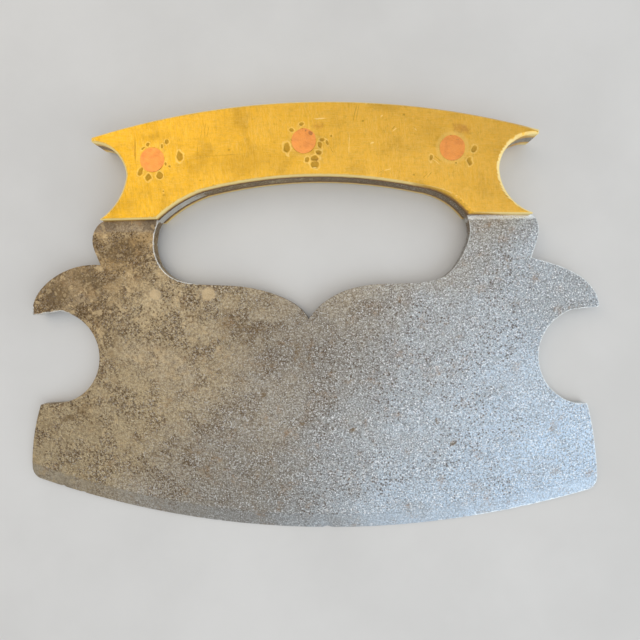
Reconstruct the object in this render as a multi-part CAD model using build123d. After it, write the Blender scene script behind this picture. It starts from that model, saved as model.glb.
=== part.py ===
from build123d import *
from math import copysign, sqrt
import os

# A head knife of the old chopper form. One steel plate is both the blade and the tang of its handle.
# A brass scale lies on each face of the tang, and three copper rivets hold the sandwich together.
# The knife lies flat: X runs along its width, +Y from the cutting edge to the handle, and +Z through
# its thickness. The back scale's face is at Z = 0, and the origin is under the middle of the outline.

# ---- thicknesses ----
BLADE_THICKNESS = 4.2
SCALE_THICKNESS = 3.4
KNIFE_THICKNESS = BLADE_THICKNESS + 2 * SCALE_THICKNESS
BLADE_MIDDLE = KNIFE_THICKNESS / 2

# ---- the two long arcs: the handle's crown and the cutting edge, which bows the other way ----
CROWN_RADIUS = 262.2
CROWN_TOP = 70.1
CROWN_MIDDLE_X = 0.9
EDGE_RADIUS = 300.1
EDGE_BOTTOM = -71.05
EDGE_MIDDLE_X = 4.9

# ---- the grind: a long taper on both faces, then a short sharpened bevel ----
TAPER_LENGTH = 45.0
BEVEL_LENGTH = 4.5
HALF_THICKNESS_AT_BEVEL = 0.75
HALF_THICKNESS_AT_EDGE = 0.2

# ---- the handle, whose ends are notched like a fish's tail ----
HORN_LEFT_X = -70.4
HORN_RIGHT_X = 74.6
HORN_DEPTH = 1.6
LEFT_NOTCH_INNERMOST = (-58.9, 47.6)
RIGHT_NOTCH_INNERMOST = (62.1, 47.6)
LEFT_FOOT = (-68.6, 33.2)
RIGHT_FOOT = (74.3, 32.9)
LEFT_HEEL = (-49.3, 33.4)
RIGHT_HEEL = (52.6, 33.3)
GRIP_LEFT = (-34.0, 42.4)
GRIP_RIGHT = (37.5, 42.4)

# ---- the plate's outline on each side, from the lobe below the handle down to the corner of the edge ----
LEFT_ARMPIT = (-69.7, 18.7)
LEFT_HOOK_TIP = (-93.6, 1.9)
LEFT_BIGHT_TOP = (-84.0, 3.4)
LEFT_BIGHT_INNERMOST = (-70.8, -12.0)
LEFT_BIGHT_BOTTOM = (-84.5, -28.1)
LEFT_CORNER = (-91.9, -28.6)
LEFT_EDGE_X = -95.9
RIGHT_ARMPIT = (73.4, 19.3)
RIGHT_HOOK_TIP = (95.2, 3.0)
RIGHT_BIGHT_TOP = (86.5, 2.2)
RIGHT_BIGHT_INNERMOST = (75.8, -12.8)
RIGHT_BIGHT_BOTTOM = (88.0, -28.7)
RIGHT_CORNER = (91.9, -28.8)
RIGHT_EDGE_X = 95.7

# ---- the hand opening's lower edge is a brace, with its point in the middle ----
BRACE_POINT = (0.4, -0.3)

# ---- rivets: straight shanks with heads flared into countersinks, flush with both scales ----
RIVET_PLACES = {
    "rivet_left": (-50.1, 52.5),
    "rivet_middle": (-0.4, 57.5),
    "rivet_right": (47.2, 54.3),
}
SHANK_DIAMETER = 6.5
HEAD_DIAMETER = 8.0
HEAD_DEPTH = 1.3

# ---- small roundings, and the bevel round each scale's outer face ----
HORN_ROUNDING = 0.6
FOOT_ROUNDING = 0.25
HOOK_ROUNDING = 0.7
CORNER_ROUNDING = 0.6
EDGE_CORNER_ROUNDING = 4.0
SCALE_RIM_BEVEL = 0.45
SCALE_RIM_ANGLE = 45.0

OUTLINE_CENTRE = ((LEFT_EDGE_X + RIGHT_EDGE_X) / 2, (CROWN_TOP + EDGE_BOTTOM) / 2)


def arc_height(x, middle_x, extreme_y, radius):
    """Height at x of a long arc that is highest at middle_x, or lowest there if its radius is negative."""
    return extreme_y - radius + copysign(sqrt(radius ** 2 - (x - middle_x) ** 2), radius)


def crown_height(x):
    return arc_height(x, CROWN_MIDDLE_X, CROWN_TOP, CROWN_RADIUS)


def edge_height(x):
    return arc_height(x, EDGE_MIDDLE_X, EDGE_BOTTOM, -EDGE_RADIUS)


LEFT_HORN_TOP = (HORN_LEFT_X, crown_height(HORN_LEFT_X))
LEFT_HORN_BOTTOM = (HORN_LEFT_X, LEFT_HORN_TOP[1] - HORN_DEPTH)
RIGHT_HORN_TOP = (HORN_RIGHT_X, crown_height(HORN_RIGHT_X))
RIGHT_HORN_BOTTOM = (HORN_RIGHT_X, RIGHT_HORN_TOP[1] - HORN_DEPTH)
LEFT_EDGE_CORNER = (LEFT_EDGE_X, edge_height(LEFT_EDGE_X))
RIGHT_EDGE_CORNER = (RIGHT_EDGE_X, edge_height(RIGHT_EDGE_X))


def crown():
    """The handle's back, from horn to horn."""
    return [ThreePointArc(LEFT_HORN_TOP, (CROWN_MIDDLE_X, CROWN_TOP), RIGHT_HORN_TOP)]


def right_notch():
    """From the right horn's blunt tip, round the notch, to the foot of the handle."""
    return [
        Line(RIGHT_HORN_TOP, RIGHT_HORN_BOTTOM),
        ThreePointArc(RIGHT_HORN_BOTTOM, (65.2, 54.9), RIGHT_NOTCH_INNERMOST),
        ThreePointArc(RIGHT_NOTCH_INNERMOST, (64.6, 39.7), RIGHT_FOOT),
    ]


def left_notch():
    """From the left foot of the handle, round the notch, to the left horn's blunt tip."""
    return [
        ThreePointArc(LEFT_FOOT, (-61.4, 40.6), LEFT_NOTCH_INNERMOST),
        ThreePointArc(LEFT_NOTCH_INNERMOST, (-62.0, 54.9), LEFT_HORN_BOTTOM),
        Line(LEFT_HORN_BOTTOM, LEFT_HORN_TOP),
    ]


def grip_underside():
    """The side of the handle that the fingers close round, from its right heel to its left heel."""
    return [
        ThreePointArc(RIGHT_HEEL, (46.0, 39.3), GRIP_RIGHT),
        ThreePointArc(GRIP_RIGHT, (2.0, 46.5), GRIP_LEFT),
        ThreePointArc(GRIP_LEFT, (-42.6, 38.4), LEFT_HEEL),
    ]


def right_flank():
    """The plate's right side: lobe, hook, half-round bight and the short straight end of the blade."""
    return [
        Spline(RIGHT_FOOT, (75.7, 29.7), (75.5, 25.8), (74.3, 22.0), RIGHT_ARMPIT),
        Spline(RIGHT_ARMPIT, (82.5, 16.4), (90.0, 12.3), (94.4, 6.8), RIGHT_HOOK_TIP),
        Line(RIGHT_HOOK_TIP, RIGHT_BIGHT_TOP),
        ThreePointArc(RIGHT_BIGHT_TOP, RIGHT_BIGHT_INNERMOST, RIGHT_BIGHT_BOTTOM),
        Line(RIGHT_BIGHT_BOTTOM, RIGHT_CORNER),
        ThreePointArc(RIGHT_CORNER, (94.4, -41.0), RIGHT_EDGE_CORNER),
    ]


def cutting_edge():
    return [ThreePointArc(RIGHT_EDGE_CORNER, (EDGE_MIDDLE_X, EDGE_BOTTOM), LEFT_EDGE_CORNER)]


def left_flank():
    """The plate's left side, from the cutting edge up to the handle."""
    return [
        ThreePointArc(LEFT_EDGE_CORNER, (-94.6, -38.5), LEFT_CORNER),
        Line(LEFT_CORNER, LEFT_BIGHT_BOTTOM),
        ThreePointArc(LEFT_BIGHT_BOTTOM, LEFT_BIGHT_INNERMOST, LEFT_BIGHT_TOP),
        Line(LEFT_BIGHT_TOP, LEFT_HOOK_TIP),
        Spline(LEFT_HOOK_TIP, (-92.2, 8.2), (-87.8, 13.3), (-79.5, 17.7), LEFT_ARMPIT),
        Spline(LEFT_ARMPIT, (-70.9, 21.6), (-72.3, 26.2), (-71.2, 30.8), LEFT_FOOT),
    ]


def brace():
    """The hand opening's lower edge, from the left heel of the handle round to the right heel."""
    left_side = Spline(
        LEFT_HEEL, (-51.2, 28.5), (-50.8, 21.0), (-46.6, 14.9), (-38.0, 12.0),
        (-22.0, 10.9), (-9.5, 7.6), (-3.0, 3.9), BRACE_POINT,
    )
    right_side = Spline(
        BRACE_POINT, (4.0, 4.1), (10.5, 8.3), (22.0, 11.1), (38.0, 11.6),
        (45.6, 13.7), (51.3, 20.6), (53.6, 28.0), RIGHT_HEEL,
    )
    return [left_side, right_side]


def face_of(edges):
    return make_face(Wire(edges))


def rounded(face, corners):
    """The face with each of the listed corners, given as (point, radius), rounded off."""
    for point, radius in corners:
        nearest = face.vertices().sort_by_distance(Vector(*point, 0))[0]
        face = fillet(nearest, radius)
    return face


HORN_CORNERS = [
    (corner, HORN_ROUNDING)
    for corner in (LEFT_HORN_TOP, LEFT_HORN_BOTTOM, RIGHT_HORN_TOP, RIGHT_HORN_BOTTOM)
]


def scale_face():
    """One brass scale's outline, with its corners still sharp."""
    right_side = right_notch() + [Line(RIGHT_FOOT, RIGHT_HEEL)]
    left_side = [Line(LEFT_HEEL, LEFT_FOOT)] + left_notch()
    return face_of(crown() + right_side + grip_underside() + left_side)


def plate_face():
    """The whole steel plate, blade and tang, without the hand opening."""
    outline = crown() + right_notch() + right_flank() + cutting_edge() + left_flank() + left_notch()
    corners = [
        (LEFT_HOOK_TIP, HOOK_ROUNDING),
        (RIGHT_HOOK_TIP, HOOK_ROUNDING),
        (LEFT_CORNER, CORNER_ROUNDING),
        (RIGHT_CORNER, CORNER_ROUNDING),
        (LEFT_EDGE_CORNER, EDGE_CORNER_ROUNDING),
        (RIGHT_EDGE_CORNER, EDGE_CORNER_ROUNDING),
    ]
    return rounded(face_of(outline), HORN_CORNERS + corners)


def grind_cutter():
    """The metal ground off the front face: a ring about the edge arc's centre, as deep as the taper and bevel."""
    taper_slope = (BLADE_THICKNESS / 2 - HALF_THICKNESS_AT_BEVEL) / (TAPER_LENGTH - BEVEL_LENGTH)
    bevel_slope = (HALF_THICKNESS_AT_BEVEL - HALF_THICKNESS_AT_EDGE) / BEVEL_LENGTH
    bevel_start = EDGE_RADIUS - BEVEL_LENGTH
    run_in = 5.0
    run_out = 1.0
    inner = EDGE_RADIUS - TAPER_LENGTH - run_in
    outer = EDGE_RADIUS + run_out
    top = BLADE_THICKNESS
    section = Polyline(
        (inner, 0, BLADE_THICKNESS / 2 + run_in * taper_slope),
        (bevel_start, 0, HALF_THICKNESS_AT_BEVEL),
        (outer, 0, HALF_THICKNESS_AT_EDGE - run_out * bevel_slope),
        (outer, 0, top),
        (inner, 0, top),
        close=True,
    )
    ring = revolve(make_face(section), Axis.Z)
    return Pos(EDGE_MIDDLE_X, EDGE_BOTTOM + EDGE_RADIUS, BLADE_MIDDLE) * ring


def rivet_holes():
    """The straight holes that the shanks fill, through all three layers."""
    return [
        Pos(x, y, KNIFE_THICKNESS / 2) * Cylinder(SHANK_DIAMETER / 2, 2 * KNIFE_THICKNESS)
        for x, y in RIVET_PLACES.values()
    ]


def blade():
    """The plate with its hand opening, its grind on both faces and its rivet holes."""
    opening = face_of(grip_underside() + brace())
    plate = Pos(0, 0, SCALE_THICKNESS) * extrude(plate_face() - opening, BLADE_THICKNESS)
    front_cutter = grind_cutter()
    back_cutter = mirror(front_cutter, Plane.XY.offset(BLADE_MIDDLE))
    return plate - front_cutter - back_cutter - rivet_holes()


def back_scale():
    """A brass scale with its outer rim bevelled, its corners rounded and its rivet holes countersunk."""
    outline = scale_face()
    slab = Pos(0, 0, SCALE_RIM_BEVEL) * extrude(outline, SCALE_THICKNESS - SCALE_RIM_BEVEL)
    rim = Pos(0, 0, SCALE_RIM_BEVEL) * extrude(outline, SCALE_RIM_BEVEL, dir=(0, 0, -1), taper=SCALE_RIM_ANGLE)
    feet = [(LEFT_FOOT, FOOT_ROUNDING), (RIGHT_FOOT, FOOT_ROUNDING)]
    envelope = extrude(rounded(outline, HORN_CORNERS + feet), SCALE_THICKNESS)
    scale = (slab + rim) & envelope
    return scale - [rivet(place) for place in RIVET_PLACES.values()]


def front_scale():
    """The back scale's mirror image, on the other face of the tang."""
    return mirror(back_scale(), Plane.XY.offset(BLADE_MIDDLE))


def rivet(place):
    """A rivet: a shank through all three layers, with a flared head at each end."""
    shank = SHANK_DIAMETER / 2
    head = HEAD_DIAMETER / 2
    section = Polyline(
        (0, 0, 0),
        (head, 0, 0),
        (shank, 0, HEAD_DEPTH),
        (shank, 0, KNIFE_THICKNESS - HEAD_DEPTH),
        (head, 0, KNIFE_THICKNESS),
        (0, 0, KNIFE_THICKNESS),
        close=True,
    )
    return Pos(*place, 0) * revolve(make_face(section), Axis.Z)


def write(name, shape):
    """Writes one sub-part, moved so that the origin is under the middle of the outline."""
    centred = Pos(-OUTLINE_CENTRE[0], -OUTLINE_CENTRE[1], 0) * shape
    export_step(centred, f"parts/{name}.step")


os.makedirs("parts", exist_ok=True)
write("blade", blade())
write("back_scale", back_scale())
write("front_scale", front_scale())
for name, place in RIVET_PLACES.items():
    write(name, rivet(place))
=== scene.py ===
import logging
import math
import random
from dataclasses import dataclass, field
from enum import Enum
from functools import partial
from typing import Any, Callable

import bmesh
import bpy
from mathutils import Matrix, Vector, kdtree, noise


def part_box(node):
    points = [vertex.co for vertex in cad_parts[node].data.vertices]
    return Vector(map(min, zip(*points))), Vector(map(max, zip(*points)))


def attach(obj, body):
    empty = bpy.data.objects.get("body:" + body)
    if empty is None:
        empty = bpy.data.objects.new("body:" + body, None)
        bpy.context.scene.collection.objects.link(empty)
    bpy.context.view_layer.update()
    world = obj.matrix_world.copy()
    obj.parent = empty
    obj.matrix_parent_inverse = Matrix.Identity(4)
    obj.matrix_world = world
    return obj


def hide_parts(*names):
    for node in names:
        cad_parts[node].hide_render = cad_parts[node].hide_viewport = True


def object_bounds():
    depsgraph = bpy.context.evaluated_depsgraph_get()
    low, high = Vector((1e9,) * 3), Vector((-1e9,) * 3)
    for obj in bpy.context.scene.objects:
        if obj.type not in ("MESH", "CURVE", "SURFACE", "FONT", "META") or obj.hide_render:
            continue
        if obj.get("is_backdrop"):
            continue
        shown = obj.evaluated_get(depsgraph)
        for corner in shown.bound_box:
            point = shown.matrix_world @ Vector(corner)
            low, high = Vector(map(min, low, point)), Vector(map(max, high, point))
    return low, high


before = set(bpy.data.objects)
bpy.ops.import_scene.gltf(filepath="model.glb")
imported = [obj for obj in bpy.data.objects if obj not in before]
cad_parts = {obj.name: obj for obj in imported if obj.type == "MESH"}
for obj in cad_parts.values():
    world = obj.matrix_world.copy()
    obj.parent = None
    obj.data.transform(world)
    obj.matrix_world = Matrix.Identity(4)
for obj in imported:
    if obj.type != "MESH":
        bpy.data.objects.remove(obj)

LOG = logging.getLogger("head_knife")

MM = 0.001
MERGE_DISTANCE = 0.001 * MM
FLAT_ANGLE = math.radians(0.3)
SHARP_ANGLE = math.radians(22.0)
ARRIS_ANGLE = math.radians(14.0)
WALL_ANGLE = math.radians(50.0)
RIGHT_THROUGH = 1000.0
LEVEL_SLACK = 0.02 * MM
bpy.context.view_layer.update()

Colour = tuple[float, float, float]


# ---------------------------------------------------------------- shared measures and helpers


def ramp(value: float, start: float, end: float) -> float:
    """A smooth step from 0 at start to 1 at end, either way round.

    Args:
        value: The number to place on the step.
        start: Where the step begins.
        end: Where the step is complete.

    Returns:
        A number from 0 to 1.
    """
    share = min(1.0, max(0.0, (value - start) / (end - start)))
    return share * share * (3.0 - 2.0 * share)


def middle_of(node: str) -> Vector:
    """The middle of a CAD node's box, in metres."""
    low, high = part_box(node)
    return (low + high) / 2.0


class Side(Enum):
    """Which face of the knife something lies on: its front looks along +Z."""

    FRONT = 1
    BACK = -1


class Mark(Enum):
    """What a channel of a piece's marks stands for: stains and painted shade, pale places, wear and painted
    highlights, and worked metal.

    Worked metal was ground smooth, or struck by a hammer.
    """

    PALE = 0
    # stains, and painted shade on the walls of the hand opening
    STAIN_AND_SHADE = 1
    # worn bright metal, and painted highlights on edges and rims
    WEAR_AND_HIGHLIGHT = 2
    WORKED = 3


@dataclass(frozen=True)
class Spot:
    """An oval place on a face, in millimetres from the piece's own datum.

    Its long axis is turned anticlockwise by tilt degrees.
    """

    x: float
    y: float
    width: float
    height: float
    tilt: float = 0.0
    strength: float = 1.0

    def reach(self, dx: float, dy: float) -> float:
        """How far out a point is.

        Args:
            dx: Millimetres from the datum along X.
            dy: Millimetres from the datum along Y.

        Returns:
            0 at the middle of the oval and 1 on its outline.
        """
        turn = math.radians(self.tilt)
        across, up = dx - self.x, dy - self.y
        along = across * math.cos(turn) + up * math.sin(turn)
        aside = up * math.cos(turn) - across * math.sin(turn)
        return math.hypot(along / (self.width / 2.0), aside / (self.height / 2.0))


class Workpiece:
    """A CAD node's shape, merged into one skin and ready for finer work at the bench."""

    def __init__(self, node: str) -> None:
        """Copies the node's mesh.

        Args:
            node: The CAD node to copy.
        """
        self.node = node
        self.bm = bmesh.new()
        self.bm.from_mesh(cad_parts[node].data)
        bmesh.ops.remove_doubles(self.bm, verts=self.bm.verts[:], dist=MERGE_DISTANCE)
        bmesh.ops.dissolve_limit(
            self.bm, angle_limit=FLAT_ANGLE, use_dissolve_boundaries=False,
            verts=self.bm.verts[:], edges=self.bm.edges[:], delimit=set(),
        )
        self.bm.normal_update()

    def round_edges(self, edges: list[bmesh.types.BMEdge], width: float, segments: int) -> None:
        """Takes the sharpness off some edges.

        Args:
            edges: The edges to break.
            width: How far the break reaches over each face, in millimetres.
            segments: How many steps the rounding has.
        """
        bmesh.ops.bevel(
            self.bm, geom=edges, offset=width * MM, offset_type="OFFSET", affect="EDGES",
            segments=segments, profile=0.5, material=-1, clamp_overlap=True,
        )
        self.bm.normal_update()

    def rule(self, axis: int, low: float, high: float, step: float, within: Callable[[Any], bool]) -> None:
        """Rules parallel lines over part of the skin, so that it has points to work with.

        Args:
            axis: 0 for lines across X and 1 for lines across Y.
            low: Where the first line lies, in metres.
            high: Where the ruling ends, in metres.
            step: The space between lines, in millimetres.
            within: A test of a face that says if it is ruled.
        """
        count = int((high - low) / (step * MM)) + 1
        lines = [low + index * step * MM for index in range(count)]
        self.cut_between(axis, lines, [face for face in self.bm.faces if within(face)])

    def cut_between(self, axis: int, lines: list[float], faces: list[Any]) -> None:
        """Cuts faces along the middle one of some lines, then each half along its own lines.

        Args:
            axis: 0 for lines across X and 1 for lines across Y.
            lines: Where the lines lie, in metres and in order.
            faces: The faces to cut.
        """
        if not lines or not faces:
            return
        half = len(lines) // 2
        line = lines[half]
        edges = list({edge for face in faces for edge in face.edges})
        verts = list({vert for edge in edges for vert in edge.verts})
        across = Vector((1.0, 0.0, 0.0)) if axis == 0 else Vector((0.0, 1.0, 0.0))
        cut = bmesh.ops.bisect_plane(
            self.bm, geom=verts + edges + faces, dist=MERGE_DISTANCE, plane_co=across * line,
            plane_no=across, use_snap_center=False, clear_outer=False, clear_inner=False,
        )
        below, above = [], []
        for part in cut["geom"]:
            if isinstance(part, bmesh.types.BMFace):
                (below if part.calc_center_median()[axis] < line else above).append(part)
        self.cut_between(axis, lines[:half], below)
        self.cut_between(axis, lines[half + 1:], above)

    def border(self, within: Callable[[Any], bool]) -> list[bmesh.types.BMEdge]:
        """The edges that part the faces that pass a test from those that don't.

        Args:
            within: The test of a face.

        Returns:
            The edges.
        """
        return [
            e for e in self.bm.edges
            if len(e.link_faces) == 2 and within(e.link_faces[0]) != within(e.link_faces[1])
        ]

    def finish(self, name: str, marks: dict[Mark, list[float]]) -> bpy.types.Object:
        """Closes the work and hangs it in the scene.

        Args:
            name: The finished piece's name.
            marks: For each kind of mark, a strength from 0 to 1 for every point.

        Returns:
            The new object, at the origin.
        """
        count = len(self.bm.verts)
        bmesh.ops.triangulate(
            self.bm, faces=[f for f in self.bm.faces if len(f.verts) > 4],
            quad_method="BEAUTY", ngon_method="BEAUTY",
        )
        open_edges = sum(1 for e in self.bm.edges if not e.is_manifold)
        mesh = bpy.data.meshes.new(name)
        self.bm.to_mesh(mesh)
        self.bm.free()
        attribute = mesh.attributes.new("marks_and_painted_light", "FLOAT_COLOR", "POINT")
        values = [0.0] * (4 * count)
        for mark, strengths in marks.items():
            values[mark.value::4] = strengths
        attribute.data.foreach_set("color", values)
        mesh.polygons.foreach_set("use_smooth", [True] * len(mesh.polygons))
        mesh.set_sharp_from_angle(angle=SHARP_ANGLE)
        piece = bpy.data.objects.new(name, mesh)
        bpy.context.scene.collection.objects.link(piece)
        triangles = sum(len(p.vertices) - 2 for p in mesh.polygons)
        LOG.info("%s: %d triangles, %d open edges", name, triangles, open_edges)
        return piece


def middle_of_edge(edge: bmesh.types.BMEdge) -> Vector:
    """The point halfway along an edge."""
    return (edge.verts[0].co + edge.verts[1].co) / 2.0


def tree_of(points: list[Vector]) -> kdtree.KDTree:
    """A balanced tree of some points, to ask for distances.

    Args:
        points: The points.

    Returns:
        The tree.
    """
    tree = kdtree.KDTree(len(points))
    for index, point in enumerate(points):
        tree.insert(point, index)
    tree.balance()
    return tree


def points_along(edges: list[bmesh.types.BMEdge], spacing: float) -> kdtree.KDTree:
    """A tree of points spaced out along some edges.

    Args:
        edges: The edges to follow.
        spacing: The most millimetres between two points.

    Returns:
        A balanced tree to ask for distances.
    """
    points = []
    for edge in edges:
        start, end = (v.co for v in edge.verts)
        steps = max(1, math.ceil((end - start).length / (spacing * MM)))
        points += [start.lerp(end, index / steps) for index in range(steps + 1)]
    return tree_of(points)


# ---------------------------------------------------------------- shader groups that the finishes share


class Bench:
    """Lays nodes in one tree and joins them up."""

    def __init__(self, tree: bpy.types.NodeTree) -> None:
        """Holds the tree to work in."""
        self.tree = tree

    def add(self, kind: str, sockets: dict[Any, Any] | None = None, **settings: Any) -> bpy.types.Node:
        """Adds a node.

        Args:
            kind: The node's type, without the ShaderNode in front.
            sockets: Input names or numbers, each with a value or a socket to link from.
            settings: The node's own properties.

        Returns:
            The new node.
        """
        node = self.tree.nodes.new("ShaderNode" + kind)
        for name, value in settings.items():
            setattr(node, name, value)
        self.feed(node, sockets or {})
        return node

    def feed(self, node: bpy.types.Node, sockets: dict[Any, Any]) -> None:
        """Sets or links a node's inputs.

        Args:
            node: The node to feed.
            sockets: Input names or numbers, each with a value or a socket to link from.
        """
        for key, value in sockets.items():
            target = node.inputs[key]
            if isinstance(value, bpy.types.NodeSocket):
                self.tree.links.new(value, target)
            else:
                target.default_value = value

    def sum(self, first: Any, second: Any, operation: str = "ADD") -> bpy.types.NodeSocket:
        """Joins two numbers, each a value or a socket, by a sum of the named kind."""
        return self.add("Math", {0: first, 1: second}, operation=operation).outputs[0]

    def times(self, first: Any, second: Any) -> bpy.types.NodeSocket:
        """Two numbers multiplied, each a value or a socket."""
        return self.sum(first, second, "MULTIPLY")

    def less(self, first: Any, second: Any) -> bpy.types.NodeSocket:
        """The first number less the second, each a value or a socket."""
        return self.sum(first, second, "SUBTRACT")

    def most(self, first: Any, second: Any) -> bpy.types.NodeSocket:
        """The larger of two numbers, each a value or a socket."""
        return self.sum(first, second, "MAXIMUM")

    def map(
        self, value: Any, start: Any, end: Any, low: float = 0.0, high: float = 1.0,
    ) -> bpy.types.NodeSocket:
        """Carries a number over from one range to another.

        Args:
            value: The socket to read.
            start: The value that gives low, or its socket.
            end: The value that gives high, or its socket.
            low: What comes out at start.
            high: What comes out at end.

        Returns:
            The carried-over number, held between low and high.
        """
        node = self.add(
            "MapRange", {"Value": value, "From Min": start, "From Max": end, "To Min": low, "To Max": high},
        )
        return node.outputs["Result"]

    def step(self, value: Any, start: Any, end: Any) -> bpy.types.NodeSocket:
        """A smooth step from 0 at start to 1 at end, either way round.

        Args:
            value: The socket to read.
            start: Where the step begins, a value or a socket.
            end: Where the step is complete, a value or a socket.

        Returns:
            A number from 0 to 1.
        """
        node = self.add(
            "MapRange", {"Value": value, "From Min": start, "From Max": end},
            interpolation_type="SMOOTHSTEP",
        )
        return node.outputs["Result"]

    def noise(self, place: Any, scale: Any, detail: Any, rough: Any = 0.5) -> bpy.types.Node:
        """Adds a soft noise.

        Args:
            place: The socket with the place that it is read at.
            scale: How fine it is, a value or a socket.
            detail: How many finer layers it has, a value or a socket.
            rough: How strong those layers are, a value or a socket.

        Returns:
            The noise node, with its number first and its colour second.
        """
        return self.add("TexNoise", {"Vector": place, "Scale": scale, "Detail": detail, "Roughness": rough})

    def blend(self, share: Any, first: Any, second: Any) -> bpy.types.NodeSocket:
        """Mixes two colours.

        Args:
            share: How much of the second colour there is, a value or a socket.
            first: The colour underneath, a value or a socket.
            second: The colour on top, a value or a socket.

        Returns:
            The mixed colour.
        """
        node = self.add("Mix", data_type="RGBA")
        self.feed(node, {0: share, 6: opaque(first), 7: opaque(second)})
        return node.outputs[2]

    def tint(self, under: Any, colour: Any, mask: Any, strength: Any) -> bpy.types.NodeSocket:
        """Lays a colour over another one.

        Args:
            under: The colour underneath.
            colour: The colour to lay on.
            mask: Where it goes.
            strength: How much of it shows where the mask is full.

        Returns:
            The mixed colour.
        """
        return self.blend(self.times(mask, strength), under, colour)

    def from_spot(self, place: Any, spot: Spot) -> bpy.types.NodeSocket:
        """A place as an oval spot has it, along and across its axes, with 1 on its outline.

        Args:
            place: The socket with the place, in millimetres.
            spot: The oval, which goes right through the piece.

        Returns:
            The place in the spot's own measure.
        """
        node = self.add(
            "Mapping",
            {"Vector": place, "Location": (spot.x, spot.y, 0.0),
             "Rotation": (0.0, 0.0, math.radians(spot.tilt)),
             "Scale": (spot.width / 2.0, spot.height / 2.0, RIGHT_THROUGH)},
            vector_type="TEXTURE",
        )
        return node.outputs[0]


def opaque(colour: Any) -> Any:
    """The same colour with full alpha, or the socket itself."""
    return (*colour, 1.0) if isinstance(colour, tuple) and len(colour) == 3 else colour


class Effect:
    """A shader group with named inputs and outputs, built once and placed in several finishes."""

    name = "effect"
    takes: dict[str, float | None] = {}
    gives: tuple[str, ...] = ("Mask",)

    def __init__(self) -> None:
        """Builds the group."""
        self.tree = bpy.data.node_groups.new(self.name, "ShaderNodeTree")
        for label, default in self.takes.items():
            kind = "NodeSocketVector" if default is None else "NodeSocketFloat"
            socket = self.tree.interface.new_socket(label, in_out="INPUT", socket_type=kind)
            if default is not None:
                socket.default_value = default
        for label in self.gives:
            self.tree.interface.new_socket(label, in_out="OUTPUT", socket_type="NodeSocketFloat")
        bench = Bench(self.tree)
        inlet = self.tree.nodes.new("NodeGroupInput")
        outlet = self.tree.nodes.new("NodeGroupOutput")
        for label, socket in self.build(bench, inlet.outputs).items():
            self.tree.links.new(socket, outlet.inputs[label])

    def build(self, bench: Bench, given: Any) -> dict[str, bpy.types.NodeSocket]:
        """Lays the group's nodes and returns the socket of each output."""
        raise NotImplementedError

    def place(self, bench: Bench, **sockets: Any) -> Any:
        """Puts the group into a material.

        Args:
            bench: Where the material's nodes are laid.
            sockets: The group's inputs, with a value or a socket each.

        Returns:
            The placed group's outputs.
        """
        node = bench.tree.nodes.new("ShaderNodeGroup")
        node.node_tree = self.tree
        bench.feed(node, sockets)
        return node.outputs


class Mottle(Effect):
    """Clouds or grain: soft noise, cut between a low and a high level."""

    name = "mottle"
    takes = {"Vector": None, "Scale": 1.0, "Detail": 4.0, "Rough": 0.6, "Low": 0.4, "High": 0.6}
    gives = ("Mask", "Height")

    def build(self, bench: Bench, given: Any) -> dict[str, bpy.types.NodeSocket]:
        """Lays the noise and its cut."""
        cloud = bench.noise(given["Vector"], given["Scale"], given["Detail"], given["Rough"]).outputs[0]
        return {"Mask": bench.step(cloud, given["Low"], given["High"]), "Height": cloud}


class Pitting(Effect):
    """Small round pits that gather where a wide cloud lets them."""

    name = "pitting"
    takes = {"Vector": None, "Scale": 1.0, "Radius": 0.35, "Cloud": 0.1, "Low": 0.45, "High": 0.6}

    def build(self, bench: Bench, given: Any) -> dict[str, bpy.types.NodeSocket]:
        """Lays the cells, shrinks them to pits and thins them out.

        Args:
            bench: The bench inside the group.
            given: The inputs, by name.

        Returns:
            The outputs, by name.
        """
        wander = bench.noise(given["Vector"], given["Scale"], 2.0).outputs["Color"]
        offset = bench.add("VectorMath", {0: wander, "Scale": 0.35}, operation="SCALE").outputs[0]
        place = bench.add("VectorMath", {0: given["Vector"], 1: offset}, operation="ADD").outputs[0]
        cells = bench.add("TexVoronoi", {"Vector": place, "Scale": given["Scale"]})
        pit = bench.step(cells.outputs["Distance"], given["Radius"], 0.02)
        cloud = bench.noise(given["Vector"], given["Cloud"], 3.0).outputs[0]
        return {"Mask": bench.times(pit, bench.map(cloud, given["Low"], given["High"]))}


class Brushing(Effect):
    """Fine scratches that run one way over the face."""

    name = "brushing"
    takes = {"Vector": None, "Angle": 0.0, "Scale": 4.0, "Stretch": 0.04, "Fine": 0.03}

    def build(self, bench: Bench, given: Any) -> dict[str, bpy.types.NodeSocket]:
        """Turns and stretches a noise, then keeps the thin lines where it crosses its middle.

        Args:
            bench: The bench inside the group.
            given: The inputs, by name.

        Returns:
            The outputs, by name.
        """
        turned = bench.add(
            "VectorRotate", {"Vector": given["Vector"], "Angle": given["Angle"]}, rotation_type="Z_AXIS",
        ).outputs[0]
        across, up, out = bench.add("SeparateXYZ", {0: turned}).outputs
        squeezed = bench.add("CombineXYZ", {0: bench.times(across, given["Stretch"]), 1: up, 2: out})
        streaks = bench.noise(squeezed.outputs[0], given["Scale"], 3.0, 0.7).outputs[0]
        off_middle = bench.sum(bench.less(streaks, 0.5), 0.0, "ABSOLUTE")
        return {"Mask": bench.map(off_middle, given["Fine"], 0.0)}


class Ragged(Effect):
    """A mark from the piece itself, with its border broken up as real wear and stains are."""

    name = "ragged"
    takes = {"Amount": 0.0, "Vector": None, "Scale": 1.0, "Break": 0.5, "Level": 0.5, "Soft": 0.2}

    def build(self, bench: Bench, given: Any) -> dict[str, bpy.types.NodeSocket]:
        """Shifts the mark's strength by a noise and cuts it.

        Args:
            bench: The bench inside the group.
            given: The inputs, by name.

        Returns:
            The outputs, by name.
        """
        crumble = bench.noise(given["Vector"], given["Scale"], 4.0, 0.65).outputs[0]
        level = bench.sum(given["Amount"], bench.times(bench.less(crumble, 0.5), given["Break"]))
        high = bench.sum(given["Level"], given["Soft"])
        return {"Mask": bench.step(level, given["Level"], high)}


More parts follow.
